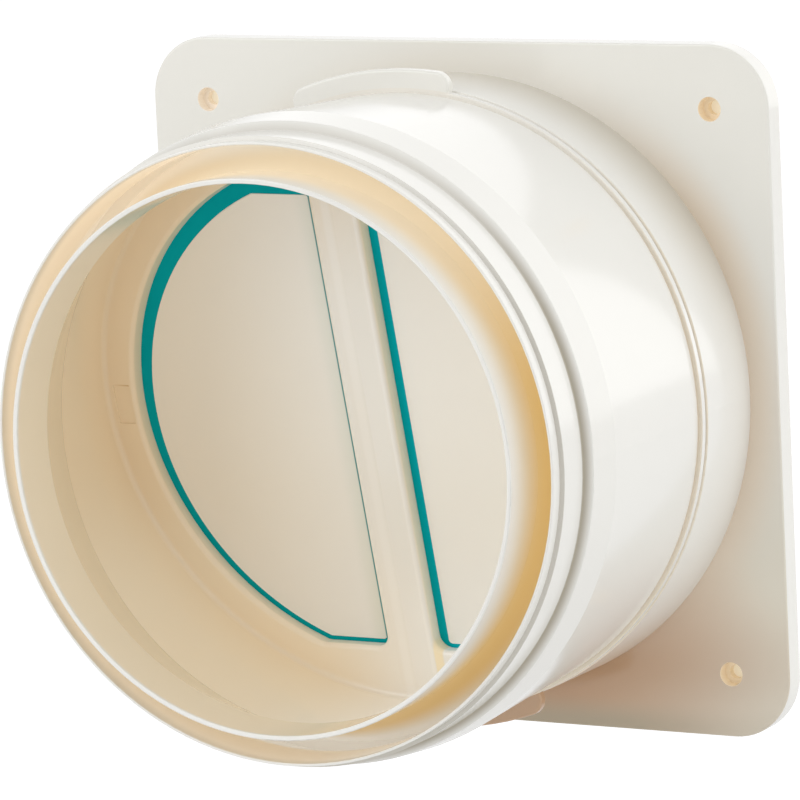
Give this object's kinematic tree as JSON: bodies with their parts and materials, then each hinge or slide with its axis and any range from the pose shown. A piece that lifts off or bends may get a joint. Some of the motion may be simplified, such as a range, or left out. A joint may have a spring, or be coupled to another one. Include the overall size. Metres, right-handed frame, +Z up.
{
  "type": "duct non-return valve",
  "caption": "Ivory plastic duct check valve: square wall plate, round stepped hose collar with an inner nozzle, and hinged leaves with teal seals behind a tilted seat.",
  "frame": {"origin": "middle of the plate's back, on the wall and on the duct's axis", "axes": "+Y into the wall along the duct, the inlet faces -Y, +X right and +Z up as it hangs"},
  "size_m": [0.2, 0.1303, 0.2],
  "materials": {
    "ivory_plastic": "glossy warm-white moulding",
    "leaf_plastic": "satin warm-white moulding",
    "teal_silicone": "smooth soft silicone",
    "steel": "plain drawn pin"
  },
  "bodies": {
    "housing": {"wall_plate": "ivory_plastic", "front_sleeve": "ivory_plastic", "valve_core": "ivory_plastic", "hinge_pin": "steel"},
    "left_leaf": {"left_flap": "leaf_plastic", "left_gasket": "teal_silicone"},
    "right_leaf": {"right_flap": "leaf_plastic", "right_gasket": "teal_silicone"}
  },
  "joints": [
    {"name": "left_leaf_hinge", "type": "hinge", "parent": "housing", "child": "left_leaf", "pos_m": [0, -0.0552, 0.00125], "axis": [0, 0.2407, -0.9706], "range_deg": [0, 80]},
    {"name": "right_leaf_hinge", "type": "hinge", "parent": "housing", "child": "right_leaf", "pos_m": [0, -0.0552, 0.00125], "axis": [0, -0.2407, 0.9706], "range_deg": [0, 80]}
  ]
}
